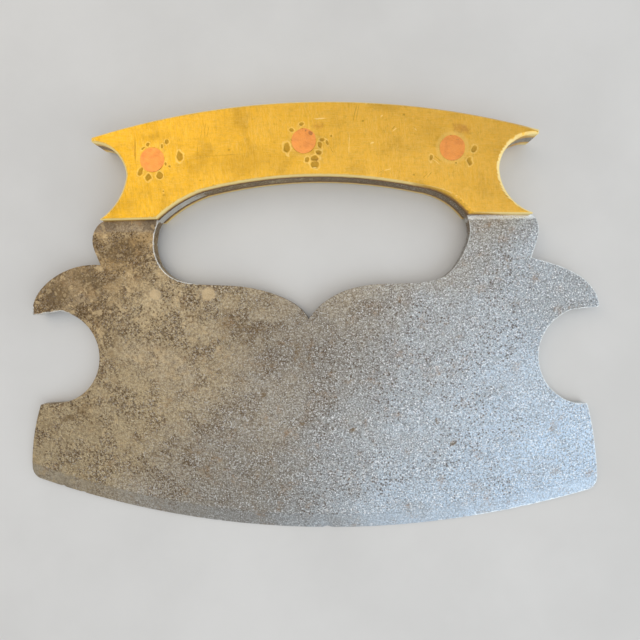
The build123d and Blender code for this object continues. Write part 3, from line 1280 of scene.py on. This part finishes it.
            sharpened = 1.0 - ramp(inset, self.sharpened_band - 0.4, self.sharpened_band + 0.3)
            worked = max(0.75 * sharpened, 0.8 * smoothed_strip, 0.8 * filed_strip, 0.7 * pale)
            found[Mark.STAIN_AND_SHADE].append(max(stain, 0.75 * smoothed_strip * (1.0 - light_middle), wall_shade))
            found[Mark.PALE].append(pale)
            found[Mark.WEAR_AND_HIGHLIGHT].append(max(bright, filed_strip, 0.15 * sharpened))
            found[Mark.WORKED].append(worked)
        return found


@dataclass
class Scale:
    """One brass scale of the handle. Sizes are in millimetres; marks are from the rivet beside them."""

    side: Side
    node: str
    slot: str = "scale_brass"
    coarse_step: float = 0.9
    fine_step: float = 0.26
    fine_reach: float = 12.5
    rim: float = 0.45
    rim_break: float = 0.10
    right_notch_rim: float = 1.0
    left_notch_rim: float = 0.62
    corner_facet: float = 1.5
    heel_cut: float = 1.35
    hole_clearance: float = 6.0
    hollow_depth: float = 0.02
    hollow_length: float = 14.0
    lip: float = 0.20
    dent_wave: float = 0.75
    dent_uneven: float = 0.45
    dents: dict[str, tuple[Spot, ...]] = field(default_factory=dict)
    tarnish: dict[str, tuple[Spot, ...]] = field(default_factory=dict)
    halos: dict[str, float] = field(default_factory=dict)
    halo_ring: tuple[float, float, float, float] = (3.9, 4.2, 4.9, 5.6)
    crown: tuple[float, float] = (22.0, 25.0)
    filed_foot: tuple[float, float] = (19.0, 44.0)
    foot_height: float = 12.0
    wall_height: float = 15.0

    def build(self, brass: bpy.types.Material) -> bpy.types.Object:
        """Makes the scale with its rims and its hammer marks.

        Args:
            brass: The scale's finish.

        Returns:
            The finished piece.
        """
        self.low, self.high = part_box(self.node)
        front = self.side is Side.FRONT
        self.level = self.high.z if front else self.low.z
        self.rivets = {name: middle_of(name) for name in self.dents}
        work = Workpiece(self.node)
        if front:
            self.widen_rims(work)
        work.round_edges(self.arrises(work), self.rim_break, 2)
        border = points_along(self.face_border(work), 0.25)
        step = self.coarse_step
        work.rule(0, self.low.x, self.high.x, step, self.is_outer)
        work.rule(1, self.low.y, self.high.y, step, self.is_outer)
        for centre in self.rivets.values():
            reach = self.fine_reach * MM

            def near(face: bmesh.types.BMFace, centre: Vector = centre, reach: float = reach) -> bool:
                """Whether an outer face lies beside this rivet."""
                spot = face.calc_center_median() - centre
                return self.is_outer(face) and abs(spot.x) < reach and abs(spot.y) < reach

            work.rule(0, centre.x - reach, centre.x + reach, self.fine_step, near)
            work.rule(1, centre.y - reach, centre.y + reach, self.fine_step, near)
        away = [border.find(v.co)[2] / MM for v in work.bm.verts]
        self.hammer(work, away)
        piece = work.finish(self.node.replace("scale", "brass_scale"), self.marks(work, away))
        piece.data.materials.append(brass)
        return piece

    def is_outer(self, face: bmesh.types.BMFace) -> bool:
        """Whether a face lies on the scale's outer side."""
        return face.normal.z * self.side.value > 0.95

    def clear_of_rivets(self, point: Vector) -> bool:
        """Whether a point is well away from every rivet hole."""
        return all((point - centre).xy.length > self.hole_clearance * MM for centre in self.rivets.values())

    def rim_width(self, point: Vector) -> float:
        """How wide the bevelled rim is at a place, in millimetres.

        Args:
            point: A point on the rim, in metres.

        Returns:
            The rim's width there.
        """
        from_right = (self.high.x - point.x) / MM
        from_left = (point.x - self.low.x) / MM
        up = (point.y - self.low.y) / MM
        in_notch = ramp(up, 1.5, 6.0) * (1.0 - ramp(up, 24.0, 29.0))
        width = self.rim
        if from_right < 14.0:
            width += (self.right_notch_rim - self.rim) * in_notch
        elif from_left < 12.5:
            width += (self.left_notch_rim - self.rim) * in_notch
        elif from_right < 42.0 and 0.3 < up < 11.0:
            width += (self.corner_facet - self.rim) * ramp(from_right, 42.0, 22.0) ** 2
        return width

    def widen_rims(self, work: Workpiece) -> None:
        """Moves the rim's inner line inwards where the maker filed it broader.

        Args:
            work: The scale before it is ruled.
        """
        foot_level = self.level - self.side.value * self.rim * MM
        tree = tree_of([v.co for v in work.bm.verts if abs(v.co.z - foot_level) < LEVEL_SLACK])
        for vert in work.bm.verts:
            if abs(vert.co.z - self.level) > LEVEL_SLACK:
                continue
            nearest, _, distance = tree.find(vert.co)
            if distance > 2.0 * self.rim * MM:
                continue
            inward = vert.co - nearest
            if (vert.co.y - self.low.y) / MM < 1.0:
                if 15.0 < (self.high.x - vert.co.x) / MM < 30.0:
                    vert.co.x += self.heel_cut * MM
                continue
            share = self.rim_width(vert.co) / self.rim - 1.0
            vert.co += Vector((inward.x, inward.y, 0.0)) * share
        work.bm.normal_update()

    def arrises(self, work: Workpiece) -> list[Any]:
        """The edges to round, but for those of the rivet holes.

        Args:
            work: The scale in work.

        Returns:
            The edges.
        """
        return [
            e for e in work.bm.edges
            if len(e.link_faces) == 2 and e.calc_face_angle(0.0) >= ARRIS_ANGLE
            and self.clear_of_rivets(middle_of_edge(e))
        ]

    def face_border(self, work: Workpiece) -> list[Any]:
        """The edges round the flat outer face, but for the rivet holes."""
        return [e for e in work.border(self.is_outer) if self.clear_of_rivets(e.verts[0].co)]

    def dent_reach(self, dent: Spot, across: Vector) -> float:
        """How far out a point is from a dent, whose outline is uneven.

        Args:
            dent: The dent, placed from its rivet.
            across: Millimetres from the rivet to the point.

        Returns:
            0 at the middle of the dent and about 1 on its outline.
        """
        uneven = noise.noise(Vector((across.x, across.y, dent.x)) * self.dent_wave)
        return dent.reach(across.x, across.y) * (1.0 + self.dent_uneven * uneven)

    def hammer(self, work: Workpiece, away: list[float]) -> None:
        """Sinks the dents beside the rivets, and lets the whole face be a little uneven.

        Args:
            work: The ruled scale.
            away: How far each point is from the flat face's border, in millimetres.
        """
        for index, vert in enumerate(work.bm.verts):
            if abs(vert.co.z - self.level) > LEVEL_SLACK:
                continue
            spot = Vector((vert.co.x, vert.co.y, 0.0)) / MM
            place = spot / self.hollow_length + Vector((3.0, self.side.value, 0.0))
            broad = noise.fractal(place, 1.0, 2.0, 2)
            sink = self.hollow_depth * (abs(broad) + 0.1)
            for name, centre in self.rivets.items():
                across = (vert.co - centre) / MM
                if abs(across.x) > self.fine_reach or abs(across.y) > self.fine_reach:
                    continue
                for dent in self.dents[name]:
                    reach = self.dent_reach(dent, across)
                    if reach < 1.5:
                        bowl = 1.0 - ramp(reach, 0.45, 1.0)
                        lip = ramp(reach, 0.85, 1.1) * (1.0 - ramp(reach, 1.1, 1.5))
                        sink += dent.strength * (bowl - self.lip * lip)
            vert.co.z -= self.side.value * sink * ramp(away[index], 0.0, 0.6) * MM

    def rivet_marks(self, point: Vector) -> tuple[float, float, float]:
        """The marks that lie beside the rivets.

        Args:
            point: A point on the outer face or its rim, in metres.

        Returns:
            How tarnished, how pale and how struck the brass is there.
        """
        inner, full, fade, outer = self.halo_ring
        stain = pale = struck = 0.0
        for name, centre in self.rivets.items():
            across = (point - centre) / MM
            out = across.xy.length
            if out > self.fine_reach + 3.0:
                continue
            for dent in self.dents[name]:
                reach = self.dent_reach(dent, across)
                struck = max(struck, 1.0 - ramp(reach, 0.7, 1.05))
                pale = max(pale, ramp(reach, 0.95, 1.12) * (1.0 - ramp(reach, 1.15, 1.4)))
            ring = ramp(out, inner, full) * (1.0 - ramp(out, fade, outer))
            pale = max(pale, self.halos.get(name, 0.0) * ring)
            for spot in self.tarnish.get(name, ()):
                stain = max(stain, spot.strength * (1.0 - ramp(spot.reach(across.x, across.y), 0.4, 1.2)))
        return stain, pale, struck

    def marks(self, work: Workpiece, away: list[float]) -> dict[Mark, list[float]]:
        """Where the brass is tarnished, pale or rubbed bright, where its rims carry painted highlights, and
        where the walls of the hand opening carry painted shade.

        Args:
            work: The ruled scale.
            away: How far each point is from the flat face's border, in millimetres.

        Returns:
            The strength of each kind of mark at every point.
        """
        found: dict[Mark, list[float]] = {mark: [] for mark in Mark}
        filed_start, filed_end = self.filed_foot
        for vert, distance in zip(work.bm.verts, away):
            depth = (self.level - vert.co.z) * self.side.value / MM
            on_face = depth < self.rim + 0.05
            stain, pale, struck = self.rivet_marks(vert.co) if on_face else (0.0, 0.0, 0.0)
            from_right = (self.high.x - vert.co.x) / MM
            from_side = min(from_right, (vert.co.x - self.low.x) / MM)
            up = (vert.co.y - self.low.y) / MM
            rim = 0.2
            # the rims are worn bright and carry painted highlights, brightest in the right notch and dimmer
            # along the crown
            if on_face and depth > 0.03 and distance < 2.0:
                on_crown = ramp(up, *self.crown) * ramp(from_side, 1.0, 5.0)
                in_right_notch = (1.0 - on_crown) * ramp(from_right, 16.0, 13.0)
                rim = 0.75 - 0.40 * on_crown * ramp(from_right, 75.0, 20.0) + 0.25 * in_right_notch
                on_foot = filed_start < from_right < filed_end and up < self.foot_height
                if self.side is Side.FRONT and on_foot:
                    filed = ramp(from_right, filed_end, 30.0)
                    rim, struck = rim * (1.0 - filed), 0.55 * filed
            elif on_face:
                rim = 0.45 if distance < 0.05 else 0.0
            elif up < self.wall_height and from_side > 17.0:
                # the walls of the hand opening: painted shade, dark and brown
                rim, struck, stain = 0.0, 0.95, 0.9
            found[Mark.STAIN_AND_SHADE].append(stain)
            found[Mark.PALE].append(pale * (1.0 - struck))
            found[Mark.WEAR_AND_HIGHLIGHT].append(rim)
            found[Mark.WORKED].append(struck)
        return found


@dataclass
class Rivet:
    """A copper rivet with both heads peened flush. Sizes are in millimetres."""

    node: str
    seed: float
    slot: str = "rivet_copper"
    mesh_step: float = 0.35
    proud: float = 0.03
    dome: float = 0.03
    spread: float = 0.22
    lobes: float = 1.6
    facet_size: float = 2.2
    facet_depth: float = 0.03
    ring_stain: float = 0.35
    stains: tuple[Spot, ...] = ()

    def build(self, copper: bpy.types.Material) -> bpy.types.Object:
        """Makes the rivet with its uneven, hand-hammered heads.

        Args:
            copper: The rivet's finish.

        Returns:
            The finished piece.
        """
        low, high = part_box(self.node)
        centre = (low + high) / 2.0
        head = (high.x - low.x) / 2.0
        work = Workpiece(self.node)
        for axis in (0, 1):
            work.rule(axis, low[axis], high[axis], self.mesh_step, lambda f: abs(f.normal.z) > 0.9)
        found: dict[Mark, list[float]] = {mark: [] for mark in Mark}
        for vert in work.bm.verts:
            across = vert.co - centre
            out = across.xy.length / head
            top = across.z > 0.0
            on_head = abs(abs(across.z) - (high.z - low.z) / 2.0) < 0.01 * MM
            stain = 0.0
            if on_head:
                around = Vector((across.x, across.y, 0.0)).normalized() * self.lobes
                wave = noise.noise(around + Vector((self.seed, 3.0 if top else 7.0, 0.0)))
                facet = noise.noise(across / (self.facet_size * MM) + Vector((self.seed, 0.0, 0.0)))
                rise = self.proud + self.dome * (1.0 - out * out) + self.facet_depth * facet * (1.0 - out)
                vert.co.z += (rise if top else -rise) * MM
                grow = 1.0 + self.spread * wave * ramp(out, 0.5, 1.0) * MM / head
                vert.co.x = centre.x + across.x * grow
                vert.co.y = centre.y + across.y * grow
                spot = across / MM
                stain = max(
                    [self.ring_stain * ramp(out, 0.86, 1.0)]
                    + [s.strength * (1.0 - ramp(s.reach(spot.x, spot.y), 0.3, 1.2)) for s in self.stains],
                )
            found[Mark.STAIN_AND_SHADE].append(stain)
            for mark in (Mark.PALE, Mark.WEAR_AND_HIGHLIGHT, Mark.WORKED):
                found[mark].append(0.0)
        piece = work.finish("copper_" + self.node, found)
        piece.data.materials.append(copper)
        return piece


# ---------------------------------------------------------------- the marks on each scale

FRONT_DENTS: dict[str, tuple[Spot, ...]] = {
    "rivet_left": (
        Spot(9.1, 0.7, 2.3, 3.3, 0.0, 0.10), Spot(-1.5, -5.7, 2.2, 2.2, 0.0, 0.11),
        Spot(2.3, -5.1, 2.2, 2.6, 0.0, 0.11), Spot(-4.0, -3.8, 1.6, 2.9, -20.0, 0.10),
        Spot(-2.9, 3.8, 1.8, 0.8, 35.0, 0.05), Spot(-1.4, 5.0, 1.3, 1.3, 0.0, 0.05),
        Spot(3.4, 4.3, 1.0, 1.6, 0.0, 0.06), Spot(4.8, 5.7, 1.2, 1.4, 0.0, 0.06),
        Spot(4.5, -1.6, 0.8, 1.3, 0.0, 0.05), Spot(5.7, -2.2, 0.9, 0.9, 0.0, 0.05),
        Spot(3.6, -10.3, 0.7, 0.7, 0.0, 0.06),
    ),
    "rivet_middle": (
        Spot(-5.5, -2.0, 2.4, 3.8, 0.0, 0.11), Spot(-3.8, 3.6, 1.4, 1.4, 0.0, 0.06),
        Spot(-0.7, 5.4, 1.8, 1.3, 0.0, 0.06), Spot(6.0, 0.3, 2.0, 1.4, 0.0, 0.09),
        Spot(5.3, -1.5, 1.6, 2.2, 0.0, 0.09), Spot(4.7, -3.7, 2.3, 1.7, -25.0, 0.10),
        Spot(3.6, -5.6, 2.9, 1.7, 0.0, 0.10), Spot(3.5, -7.7, 2.9, 2.1, 0.0, 0.10),
        Spot(1.0, -6.0, 1.8, 1.7, 0.0, 0.09), Spot(8.9, 1.4, 0.7, 0.7, 0.0, 0.06),
        Spot(7.6, -0.8, 0.8, 1.6, 20.0, 0.05),
    ),
    "rivet_right": (
        Spot(6.8, -0.6, 1.9, 2.7, -20.0, 0.10), Spot(5.4, -4.5, 1.9, 2.5, 25.0, 0.10),
        Spot(-6.7, -2.9, 1.4, 2.1, 0.0, 0.08), Spot(1.1, -4.8, 0.7, 0.7, 0.0, 0.05),
    ),
}

FRONT_TARNISH: dict[str, tuple[Spot, ...]] = {
    "rivet_left": (Spot(-6.0, 3.0, 1.6, 8.0, 0.0, 0.25),),
    "rivet_middle": (Spot(4.5, 5.0, 6.0, 4.5, -20.0, 0.35), Spot(3.0, -6.0, 7.0, 7.0, 0.0, 0.20)),
    "rivet_right": (Spot(3.0, 6.0, 8.0, 4.5, -15.0, 0.45), Spot(0.0, 0.0, 11.5, 11.5, 0.0, 0.18)),
}

BACK_SEED = 11

FRONT_HALOS: dict[str, float] = {"rivet_left": 0.15, "rivet_middle": 0.15, "rivet_right": 0.40}


def struck_at_random(seed: int) -> dict[str, tuple[Spot, ...]]:
    """Hammer marks for the back scale: a loose ring of dents round each rivet.

    Args:
        seed: Where the draw begins.

    Returns:
        The dents beside each rivet.
    """
    draw = random.Random(seed)
    found = {}
    for name in FRONT_DENTS:
        dents = []
        for _ in range(draw.randint(5, 9)):
            turn = draw.uniform(0.0, 2.0 * math.pi)
            out = draw.uniform(5.6, 9.0)
            width, height = draw.uniform(1.2, 2.6), draw.uniform(1.4, 3.0)
            tilt, depth = draw.uniform(-40.0, 40.0), draw.uniform(0.05, 0.11)
            dents.append(Spot(out * math.cos(turn), out * math.sin(turn), width, height, tilt, depth))
        found[name] = tuple(dents)
    return found


# ---------------------------------------------------------------- the stage


@dataclass
class Board:
    """A plain pale board, laid so that the knife rests on its back scale and its cutting edge."""

    size: float = 2.4
    contact_height: float = 5.3 * MM

    def build(self, finish: bpy.types.Material) -> bpy.types.Object:
        """Makes the board.

        Args:
            finish: The board's finish.

        Returns:
            The board, marked as part of the stage.
        """
        blade_low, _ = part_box("blade")
        scale_low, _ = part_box("back_scale")
        slope = math.atan2(self.contact_height, scale_low.y - blade_low.y)
        bm = bmesh.new()
        bmesh.ops.create_grid(bm, x_segments=24, y_segments=24, size=self.size / 2.0)
        hinge = Matrix.Translation((0.0, scale_low.y, scale_low.z - 0.02 * MM))
        bmesh.ops.transform(bm, matrix=hinge @ Matrix.Rotation(-slope, 4, "X"), verts=bm.verts)
        mesh = bpy.data.meshes.new("board")
        bm.to_mesh(mesh)
        bm.free()
        board = bpy.data.objects.new("board", mesh)
        bpy.context.scene.collection.objects.link(board)
        mesh.materials.append(finish)
        board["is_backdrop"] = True
        return board


@dataclass(frozen=True)
class Softbox:
    """One soft studio lamp that looks at the knife. Places are in metres."""

    name: str
    place: tuple[float, float, float]
    size: float
    power: float
    tint: Colour

    def hang(self, target: Vector) -> None:
        """Hangs the lamp.

        Args:
            target: The point that it looks at.
        """
        lamp = bpy.data.lights.new(self.name, "AREA")
        lamp.shape = "SQUARE"
        lamp.size = self.size
        lamp.energy = self.power
        lamp.color = self.tint
        holder = bpy.data.objects.new(self.name, lamp)
        holder.location = self.place
        holder.rotation_mode = "QUATERNION"
        holder.rotation_quaternion = (target - Vector(self.place)).to_track_quat("-Z", "Y")
        bpy.context.scene.collection.objects.link(holder)


@dataclass
class Studio:
    """Soft light: a cool box and a low one at the right, a warm one at the left, one above, and the room."""

    room: Colour = (0.92, 0.95, 1.0)
    room_light: float = 0.57
    lamps: tuple[Softbox, ...] = (
        Softbox("cool_box", (0.50, -0.45, 0.70), 0.7, 2.25, (0.86, 0.94, 1.0)),
        Softbox("warm_box", (-0.50, 0.40, 0.65), 0.6, 1.3, (1.0, 0.84, 0.62)),
        Softbox("window_box", (0.95, 0.10, 0.17), 0.45, 1.8, (0.92, 0.97, 1.0)),
        Softbox("top_box", (0.0, 0.0, 1.1), 0.9, 2.15, (1.0, 0.98, 0.95)),
    )

    def build(self) -> None:
        """Hangs the lamps and lights the room."""
        low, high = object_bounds()
        for lamp in self.lamps:
            lamp.hang((low + high) / 2.0)
        world = bpy.data.worlds.new("studio")
        world.use_nodes = True
        background = world.node_tree.nodes["Background"]
        background.inputs["Color"].default_value = (*self.room, 1.0)
        background.inputs["Strength"].default_value = self.room_light
        bpy.context.scene.world = world
        bpy.context.scene.view_settings.view_transform = "Standard"


@dataclass
class Viewpoint:
    """Where the knife is looked at from: nearly straight above it and close, a little turned."""

    lens: float = 28.0
    sensor: float = 36.0
    over: tuple[float, float, float] = (10.30 * MM, 4.54 * MM, 167.54 * MM)
    lean: tuple[float, float] = (-0.03614, -0.02811)
    turn: float = math.radians(0.6)

    def build(self) -> bpy.types.Object:
        """Sets up the camera.

        Returns:
            The camera, which the scene uses.
        """
        low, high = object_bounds()
        up = Vector((*self.lean, 1.0)).normalized()
        right = Vector((math.cos(self.turn), math.sin(self.turn), 0.0))
        right = (right - right.dot(up) * up).normalized()
        ahead = up.cross(right)
        data = bpy.data.cameras.new("viewpoint")
        data.lens = self.lens
        data.sensor_width = self.sensor
        data.clip_start = 0.01
        data.clip_end = 20.0
        camera = bpy.data.objects.new("viewpoint", data)
        bpy.context.scene.collection.objects.link(camera)
        turned = Matrix((right, ahead, up)).to_4x4()
        camera.matrix_world = Matrix.Translation((low + high) / 2.0 + Vector(self.over)) @ turned
        bpy.context.scene.camera = camera
        return camera


# ---------------------------------------------------------------- putting it together


def hand_over(piece: bpy.types.Object, node: str) -> None:
    """Hangs a finished piece on the root body and hides the CAD node that it stands for.

    Args:
        piece: The finished piece.
        node: The CAD node that it stands for.
    """
    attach(piece, "root")
    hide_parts(node)
    LOG.info("%s stands for %s", piece.name, node)


def main() -> None:
    """Builds the stage, then the knife from its plate outwards."""
    logging.basicConfig(level=logging.INFO, format="%(name)s: %(message)s")
    effects = Effects()
    Viewpoint().build()
    Studio().build()
    Board().build(FloorFinish().make(effects))
    steel = SteelFinish().make(effects)
    brass = BrassFinish().make(effects)
    copper = CopperFinish().make(effects)

    blade = Blade()
    hand_over(blade.build(steel), blade.node)
    scales = (
        Scale(Side.FRONT, "front_scale", dents=FRONT_DENTS, tarnish=FRONT_TARNISH, halos=FRONT_HALOS),
        Scale(Side.BACK, "back_scale", dents=struck_at_random(BACK_SEED)),
    )
    for scale in scales:
        hand_over(scale.build(brass), scale.node)
    rivets = (
        Rivet("rivet_left", 1.3),
        Rivet(
            "rivet_middle", 4.1,
            stains=(Spot(2.2, 2.4, 2.4, 1.6, -40.0, 0.9), Spot(0.6, 3.2, 1.2, 0.8, 0.0, 0.7)),
        ),
        Rivet("rivet_right", 8.7, stains=(Spot(1.6, 2.6, 2.0, 1.2, 0.0, 0.5),)),
    )
    for rivet in rivets:
        hand_over(rivet.build(copper), rivet.node)


if __name__ == "__main__":
    main()
